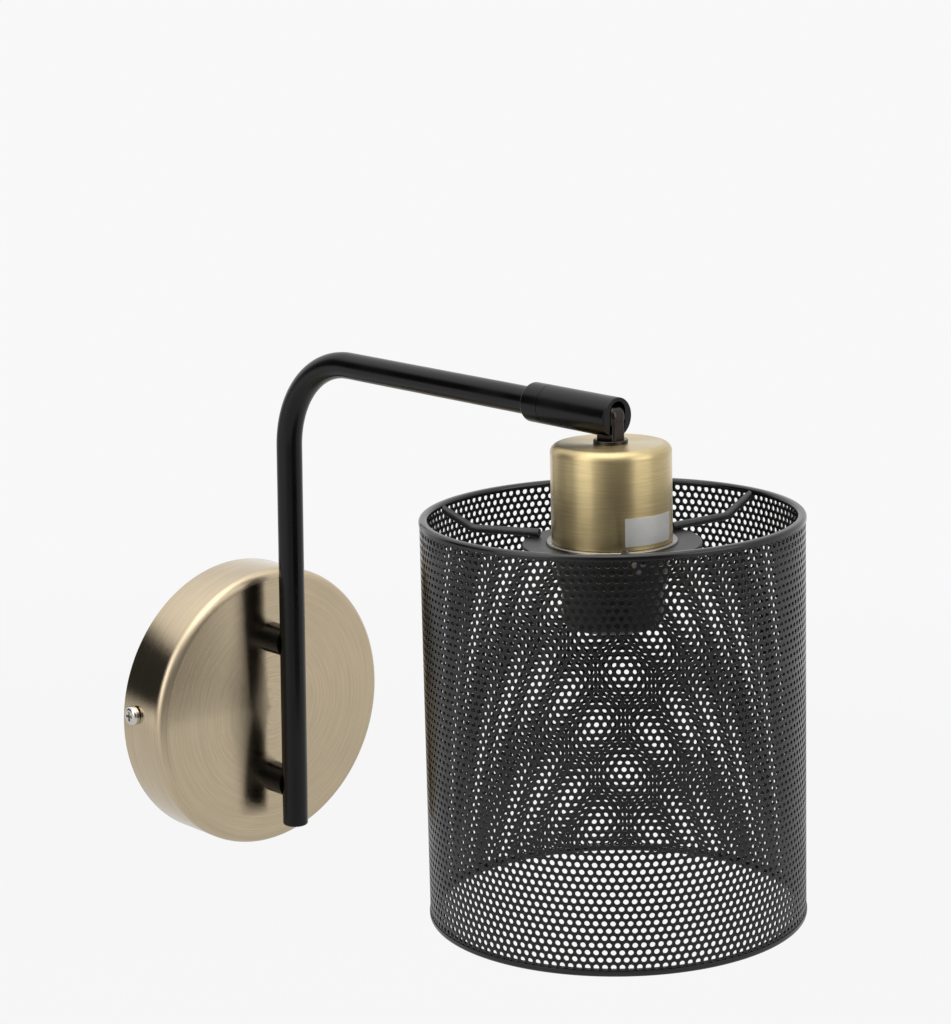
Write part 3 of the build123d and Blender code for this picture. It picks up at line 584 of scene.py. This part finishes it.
class LAMP_OT_stage(bpy.types.Operator):
    """Floor, backdrop, softboxes and camera"""

    bl_idname = "lamp.stage"
    bl_label = "Stage"

    def execute(self, context):
        studio = context.scene.lamp_studio
        self.set_camera(context, studio)
        self.set_room(context, studio)
        self.set_floor(context, studio)
        self.softbox("overhead", place=(-0.2, -0.2, 1.5), size=1.6, power=studio.overhead_power)
        self.softbox("left_side", place=(-1.7, 0.1, 0.7), size=1.2, power=studio.side_power)
        self.softbox("front_side", place=(0.5, -1.9, 0.8), size=1.2, power=studio.side_power)
        context.scene.view_settings.view_transform = "Standard"
        return {"FINISHED"}

    @staticmethod
    def set_camera(context, studio):
        """Camera at its place, turned by its three angles."""
        data = bpy.data.cameras.new("camera")
        data.lens = studio.camera_lens
        data.sensor_width = 36.0
        data.clip_start = 0.01
        camera = bpy.data.objects.new("camera", data)
        context.scene.collection.objects.link(camera)
        azimuth = studio.camera_azimuth
        elevation = studio.camera_elevation
        back = Vector((
            math.sin(azimuth) * math.cos(elevation),
            -math.cos(azimuth) * math.cos(elevation),
            math.sin(elevation)))
        right = Vector((math.cos(azimuth), math.sin(azimuth), 0))
        facing = Matrix((right, back.cross(right), back)).transposed()
        roll = Matrix.Rotation(studio.camera_roll, 3, "Z")
        camera.matrix_world = Matrix.Translation(studio.camera_place) @ (facing @ roll).to_4x4()
        context.scene.camera = camera

    @staticmethod
    def softbox(name, place, size, power):
        """Square light that faces the lamp and stays out of the picture."""
        place = Vector(place)
        target = Vector((0, -0.13, 0.04))
        data = bpy.data.lights.new(name, "AREA")
        data.shape = "SQUARE"
        data.size = size
        data.energy = power
        lamp = bpy.data.objects.new(name, data)
        bpy.context.scene.collection.objects.link(lamp)
        facing = (place - target).to_track_quat("Z", "Y").to_matrix().to_4x4()
        lamp.matrix_world = Matrix.Translation(place) @ facing
        lamp.visible_camera = False

    @staticmethod
    def set_room(context, studio):
        """White backdrop for the camera, soft light from all round, and dark walls for mirrors."""
        world = bpy.data.worlds.new("studio")
        world.use_nodes = True
        context.scene.world = world
        recipe = Recipe(world.node_tree)
        rays = recipe.rays()
        direction = recipe.node("ShaderNodeTexCoord", output="Generated")
        x, y, z = recipe.parts(direction)
        level = (x * x + y * y) ** 0.5
        bright = 1.0 + CEILING_GAIN * recipe.ramp(z, *CEILING_HEIGHTS)
        for wall in DARK_WALLS:
            azimuth, full, faded = (math.radians(turn) for turn in wall[:3])
            toward = (x * math.sin(azimuth) - y * math.cos(azimuth)) / level
            side = recipe.ramp(toward, math.cos(faded), math.cos(full))
            above_low = recipe.ramp(z, wall.low - wall.softness, wall.low + wall.softness)
            below_high = 1.0 - recipe.ramp(z, wall.high - wall.softness, wall.high + wall.softness)
            bright = bright * (1.0 - wall.darkness * (side * above_low * below_high))
        seen = recipe.node(
            "ShaderNodeBackground", {}, {"Color": (*studio.backdrop, 1.0), "Strength": 1.0})
        mirrored = recipe.node(
            "ShaderNodeBackground", {}, {"Color": (*studio.backdrop, 1.0), "Strength": bright})
        light = recipe.node(
            "ShaderNodeBackground", {}, {"Color": (1.0, 1.0, 1.0, 1.0), "Strength": studio.room_strength})
        glossy = recipe.node(
            "ShaderNodeMixShader", {}, {0: rays["Is Glossy Ray"], 1: light, 2: mirrored})
        straight = recipe.node(
            "ShaderNodeMath", {"operation": "MAXIMUM"},
            {0: rays["Is Camera Ray"], 1: rays["Is Transmission Ray"]})
        shown = recipe.node("ShaderNodeMixShader", {}, {0: straight, 1: glossy, 2: seen})
        recipe.node("ShaderNodeOutputWorld", {}, {"Surface": shown})

    @staticmethod
    def set_floor(context, studio):
        """Pale disc under the lamp that fades into the backdrop."""
        mesh = bmesh.new()
        radius = studio.floor_radius
        place = Matrix.Translation((0, 0, CAD_BOX[0][2] - studio.floor_drop))
        bmesh.ops.create_circle(mesh, cap_ends=True, radius=radius, segments=96, matrix=place)
        data = bpy.data.meshes.new("floor")
        mesh.to_mesh(data)
        mesh.free()
        floor = bpy.data.objects.new("floor", data)
        context.scene.collection.objects.link(floor)
        material, recipe = new_finish("pale_floor")
        data.materials.append(material)
        x, y, _ = recipe.parts(recipe.placed())
        fade = recipe.ramp((x * x + y * y) ** 0.5, *(radius * part for part in FLOOR_FADE))
        rays = recipe.rays()
        lit = recipe.node("ShaderNodeBsdfDiffuse", {}, {"Color": (*studio.floor_colour, 1.0)})
        white = recipe.node("ShaderNodeEmission", {}, {
            "Color": (*studio.backdrop, 1.0), "Strength": 1.0 - studio.floor_dimming * rays["Is Glossy Ray"]})
        clear = recipe.node("ShaderNodeBsdfTransparent")
        seen = rays["Is Camera Ray"] + rays["Is Glossy Ray"] + rays["Is Transmission Ray"]
        shown = recipe.node("ShaderNodeMixShader", {}, {0: studio.floor_white * seen, 1: lit, 2: white})
        faded = recipe.node("ShaderNodeMixShader", {}, {0: fade, 1: shown, 2: clear})
        recipe.node("ShaderNodeOutputMaterial", {}, {"Surface": faded})


class LAMP_OT_canopy(bpy.types.Operator):
    """Turned brass canopy on the wall"""

    bl_idname = "lamp.canopy"
    bl_label = "Canopy"

    def execute(self, context):
        sizes = context.scene.lamp_body
        low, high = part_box("canopy")
        radius = (high.z - low.z) / 2
        depth = high.y - low.y
        wall = sizes.canopy_wall
        mesh = turned([
            (0, depth, 0),
            (radius, depth, sizes.canopy_fillet),
            (radius, 0, sizes.edge_fillet),
            (radius - wall, 0, sizes.edge_fillet),
            (radius - wall, depth - wall, sizes.canopy_fillet - wall / 2),
            (0, depth - wall, 0),
        ], segments=224)
        brass = context.scene.lamp_brass
        finish = brushed_brass(
            "canopy_brass", (0, 0, 0), (math.radians(-90), 0, 0), brass.canopy_tint, brass.canopy_roughness,
            brass.canopy_groove, 0.0, brass.lacquer, (radius + depth, sizes.canopy_fillet, brass.canopy_edge),
            [brass.canopy_fan * part for part in (-1, -0.5, 0, 0.5, 1)])
        add_piece("turned_canopy", moved(mesh, OUT_OF_WALL), "wall_arm", "antique_brass", finish, "canopy")
        return {"FINISHED"}


class LAMP_OT_arm(bpy.types.Operator):
    """Bent tube with its end plug, stand-offs and swivel"""

    bl_idname = "lamp.arm"
    bl_label = "Arm"

    def execute(self, context):
        sizes = context.scene.lamp_body
        paint = context.scene.lamp_paint
        black = satin_paint("arm_paint", paint.arm_black, roughness=0.25, shine=0.28)
        low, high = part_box("arm_tube")
        _, plug_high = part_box("tube_end_plug")
        radius = plug_high.x
        out = high.y - radius
        bend = sizes.bend_radius
        rise = high.z - radius - bend - low.z
        centre = Vector((0, out - bend, high.z - radius - bend))
        tube = bent_bar(radius, Vector((0, out, low.z)), Vector((0, 0, 1)), [
            rise,
            (centre, Vector((1, 0, 0)), math.radians(90)),
            (out - bend) - low.y,
        ])
        add_piece("bent_tube", tube, "wall_arm", "black_paint", black, "arm_tube")
        for node in ("tube_end_plug", "upper_standoff", "lower_standoff"):
            paint_node(node, black)
        for node in ("swivel_collar", "swivel_fork", "hinge_pins"):
            paint_node(node, black)
        return {"FINISHED"}


class LAMP_OT_cup(bpy.types.Operator):
    """Brass cup with its seat ring and plain foil"""

    bl_idname = "lamp.cup"
    bl_label = "Cup"

    def execute(self, context):
        sizes = context.scene.lamp_body
        low, high = head_box("socket_cup")
        radius = (high.y - low.y) / 2
        height = high.z - low.z
        wall = sizes.cup_wall
        hole = radius * sizes.cup_hole
        mesh = turned([
            (hole, height, 0),
            (radius, height, sizes.cup_fillet),
            (radius, 0, sizes.edge_fillet),
            (radius - wall, 0, sizes.edge_fillet),
            (radius - wall, height - wall, sizes.cup_fillet - wall / 2),
            (hole, height - wall, 0),
        ], segments=160, closed=True)
        place = on_head(low.z)
        brass = context.scene.lamp_brass
        finish = brushed_brass(
            "cup_brass", place.translation, HEAD.inverted().to_euler(), brass.cup_tint, brass.cup_roughness,
            brass.cup_groove, brass.cup_spread, brass.lacquer,
            (radius + height, sizes.cup_fillet, brass.cup_edge),
            [brass.cup_fan * part for part in (-1, 0, 1)])
        add_piece("spun_cup", moved(mesh, place), "head", "antique_brass", finish, "socket_cup")
        plate = plain_metal("seat_ring_plate", (0.3, 0.29, 0.26), roughness=0.26, scratch_depth=0.000001)
        paint_node("cup_seat_ring", plate)
        self.add_foil(sizes)
        return {"FINISHED"}

    @staticmethod
    def add_foil(sizes):
        """Thin bent sheet that lies on the cup's side."""
        low, high = head_box("blank_foil")
        radius = -low.y
        mesh = profile([(radius, 0, low.z), (radius, 0, high.z)])
        spun(mesh, sizes.foil_angle, steps=36)
        thickened(mesh, sizes.foil_thickness)
        smooth(mesh)
        moved(mesh, HEAD @ Matrix.Rotation(sizes.foil_centre - sizes.foil_angle / 2, 4, "Z"))
        finish = silver_foil("silver_foil", HEAD.translation)
        add_piece("bent_foil", mesh, "head", "foil", finish, "blank_foil")


class LAMP_OT_rims(bpy.types.Operator):
    """Pressed rims at both ends of the shade"""

    bl_idname = "lamp.rims"
    bl_label = "Rims"

    def execute(self, context):
        shade = context.scene.lamp_shade
        paint = context.scene.lamp_paint
        finish = satin_paint("rim_paint", paint.shade_black, roughness=0.2, shine=0.5)
        mesh_low, mesh_high = head_box("mesh_shade")
        behind_sheet = (mesh_high.y - mesh_low.y) / 2 - shade.thickness
        for node, end in (("top_rim", 1), ("bottom_rim", -1)):
            low, high = head_box(node)
            outer = (high.y - low.y) / 2
            inner = outer - shade.rim_width
            mesh = turned([
                (outer, 0, shade.rim_fillet),
                (outer, -shade.rim_lip, shade.rim_edge),
                (behind_sheet, -shade.rim_lip, 0),
                (behind_sheet, -shade.rim_leg, shade.rim_edge),
                (inner, -shade.rim_leg, shade.rim_fillet),
                (inner, 0, shade.rim_fillet),
            ], segments=288, closed=True)
            place = on_head(high.z if end > 0 else low.z)
            turn = Matrix.Rotation(0 if end > 0 else math.pi, 4, "X")
            add_piece("pressed_" + node, moved(mesh, place @ turn), "head", "shade_black", finish, node)
        return {"FINISHED"}


class LAMP_OT_sheet(bpy.types.Operator):
    """Perforated sheet of the shade, in equal panels"""

    bl_idname = "lamp.sheet"
    bl_label = "Perforated sheet"

    def execute(self, context):
        shade = context.scene.lamp_shade
        paint = context.scene.lamp_paint
        finish = satin_paint("sheet_paint", paint.shade_black, roughness=0.21, shine=0.42, grain=0.0003)
        low, high = head_box("mesh_shade")
        radius = (high.y - low.y) / 2
        panel_columns = round(math.tau * radius / shade.hole_pitch / shade.panels)
        step = math.tau / (shade.panels * panel_columns)
        pitch = 2 * radius * math.tan(step / 2)
        first_row = head_box("bottom_rim")[0].z + shade.hole_margin
        span = head_box("top_rim")[1].z - shade.hole_margin - first_row
        even_step = pitch * math.sqrt(3) / 2
        rows = round(span / even_step) + 1
        row_step = span / (rows - 1)
        panel = self.cell(shade, pitch)
        bmesh.ops.scale(panel, vec=(1, row_step / even_step, 1), verts=panel.verts[:])
        moved(panel, Matrix.Translation((0, -radius, first_row)) @ OUT_OF_WALL)
        spun(panel, step * (panel_columns - 1), panel_columns - 1, use_duplicate=True)
        row = panel.verts[:] + panel.edges[:] + panel.faces[:]
        for number in range(1, rows):
            copied = bmesh.ops.duplicate(panel, geom=row)["geom"]
            shift = step / 2 if number % 2 else 0.0
            place = Matrix.Translation((0, 0, number * row_step)) @ Matrix.Rotation(shift, 4, "Z")
            bmesh.ops.transform(panel, matrix=place, verts=vertices(copied))
        bmesh.ops.remove_doubles(panel, verts=panel.verts[:], dist=pitch * 0.02)
        thickened(panel, shade.thickness)
        for number in range(shade.panels):
            turn = Matrix.Rotation(math.tau * number / shade.panels, 4, "Z")
            mesh = moved(panel.copy(), HEAD @ turn)
            add_piece(f"perforated_panel_{number + 1}", mesh, "head", "shade_black", finish, "mesh_shade")
        panel.free()
        return {"FINISHED"}

    @staticmethod
    def cell(shade, pitch):
        """Six-sided tile with a round hole, lying flat at the origin."""
        mesh = bmesh.new()
        bmesh.ops.create_circle(
            mesh, cap_ends=False, radius=shade.hole_diameter / 2, segments=shade.hole_sides)
        outer = bmesh.ops.extrude_edge_only(mesh, edges=mesh.edges[:])["geom"]
        for vertex in vertices(outer):
            turn = math.degrees(math.atan2(vertex.co.y, vertex.co.x)) % 60
            at_corner = abs(turn - 30) < 1
            reach = pitch / math.sqrt(3) if at_corner else pitch / 2
            factor = reach / vertex.co.length
            bmesh.ops.scale(mesh, vec=(factor, factor, factor), verts=[vertex])
        return mesh


class LAMP_OT_thread(bpy.types.Operator):
    """Rolled lamp thread inside the lampholder"""

    bl_idname = "lamp.thread"
    bl_label = "Lamp thread"

    def execute(self, context):
        sizes = context.scene.lamp_body
        low, high = head_box("screw_shell")
        root = (high.y - low.y) / 2 - sizes.thread_gap
        pitch = sizes.thread_pitch
        points_per_turn = 12
        turns = math.ceil((high.z - low.z) / pitch) + 2
        points = []
        for number in range(points_per_turn * turns + 1):
            turn = number / points_per_turn
            depth = sizes.thread_depth * (1 - math.cos(math.tau * turn)) / 2
            points.append((root - depth, 0, low.z + (turn - 1.5) * pitch))
        mesh = profile(points)
        steps = 72
        spun(mesh, math.tau, steps, dvec=(0, 0, pitch / steps))
        bmesh.ops.remove_doubles(mesh, verts=mesh.verts[:], dist=MERGE_DISTANCE * 10)
        for height, side in ((low.z, -1), (high.z, 1)):
            bmesh.ops.bisect_plane(
                mesh, geom=mesh.verts[:] + mesh.edges[:] + mesh.faces[:], plane_co=(0, 0, height),
                plane_no=(0, 0, side), clear_outer=True)
        bmesh.ops.dissolve_degenerate(mesh, dist=SLIVER, edges=mesh.edges[:])
        thickened(mesh, sizes.thread_wall)
        smooth(mesh, math.radians(50))
        moved(mesh, HEAD)
        finish = plain_metal("shell_brass", CONTACT_BRASS, roughness=0.28)
        add_piece("threaded_shell", mesh, "head", "contact_brass", finish, "screw_shell")
        return {"FINISHED"}


class LAMP_OT_fittings(bpy.types.Operator):
    """Finishes of the pieces that keep their turned or pressed form"""

    bl_idname = "lamp.fittings"
    bl_label = "Fittings"

    def execute(self, context):
        paint = context.scene.lamp_paint
        spider = satin_paint("spider_paint", paint.spider_black, roughness=0.36, shine=0.5)
        nickel = plain_metal("bright_nickel", (0.78, 0.75, 0.7), roughness=0.16)
        zinc = plain_metal("zinc_plate", (0.62, 0.63, 0.64), roughness=0.34, spangle=0.4)
        contact = plain_metal("contact_brass", CONTACT_BRASS, roughness=0.28)
        holder = moulded("holder_black", paint.holder_black, roughness=0.32)
        finishes = {
            spider: ("spider_ring", "spider_spoke_1", "spider_spoke_2", "spider_spoke_3"),
            nickel: ("canopy_screws",),
            zinc: (
                "wall_bracket", "terminal_screws", "terminal_block_screw", "earth_screw", "standoff_washers",
                "standoff_nuts", "retaining_ring", "lock_washer", "knuckle_nut", "holder_terminal_screws"),
            contact: ("terminal_sleeves", "earth_washer", "centre_contact"),
            holder: ("lampholder_cap", "lampholder_body", "shade_ring"),
            plain_metal("gunmetal", paint.gunmetal, roughness=0.26): ("knuckle",),
            moulded("terminal_plastic", (0.78, 0.77, 0.72), roughness=0.42): ("terminal_block",),
            moulded("insert_white", (0.8, 0.79, 0.76), roughness=0.22, clear=0.4): ("lampholder_insert",),
            moulded("friction_plastic", (0.6, 0.58, 0.52), roughness=0.4): ("friction_washer",),
            moulded("wire_brown", (0.12, 0.05, 0.025), roughness=0.36): ("live_wire", "holder_wires"),
            moulded("wire_blue", (0.02, 0.1, 0.36), roughness=0.36): ("neutral_wire",),
            moulded("wire_green", (0.08, 0.3, 0.06), roughness=0.36): ("earth_lead",),
        }
        for finish, nodes in finishes.items():
            for node in nodes:
                paint_node(node, finish)
        return {"FINISHED"}


PIECES = (
    LAMP_OT_stage,
    LAMP_OT_canopy,
    LAMP_OT_arm,
    LAMP_OT_cup,
    LAMP_OT_rims,
    LAMP_OT_sheet,
    LAMP_OT_thread,
    LAMP_OT_fittings,
)


class LAMP_PT_panel(bpy.types.Panel):
    """Lists the lamp's pieces and its stage"""

    bl_idname = "LAMP_PT_panel"
    bl_label = "Perforated wall lamp"
    bl_space_type = "VIEW_3D"
    bl_region_type = "UI"
    bl_category = "Lamp"

    def draw(self, context):
        for piece in PIECES:
            self.layout.operator(piece.bl_idname)


SETTINGS = {
    "lamp_studio": StudioSettings,
    "lamp_brass": BrassSettings,
    "lamp_paint": PaintSettings,
    "lamp_shade": ShadeSettings,
    "lamp_body": BodySettings,
}


def register():
    for name, settings in SETTINGS.items():
        bpy.utils.register_class(settings)
        setattr(bpy.types.Scene, name, PointerProperty(type=settings))
    for piece in PIECES:
        bpy.utils.register_class(piece)
    bpy.utils.register_class(LAMP_PT_panel)


def unregister():
    bpy.utils.unregister_class(LAMP_PT_panel)
    for piece in reversed(PIECES):
        bpy.utils.unregister_class(piece)
    for name, settings in SETTINGS.items():
        delattr(bpy.types.Scene, name)
        bpy.utils.unregister_class(settings)


def main():
    register()
    bpy.ops.lamp.stage()
    bpy.ops.lamp.canopy()
    bpy.ops.lamp.arm()
    bpy.ops.lamp.cup()
    bpy.ops.lamp.rims()
    bpy.ops.lamp.sheet()
    bpy.ops.lamp.thread()
    bpy.ops.lamp.fittings()


if __name__ == "__main__":
    main()
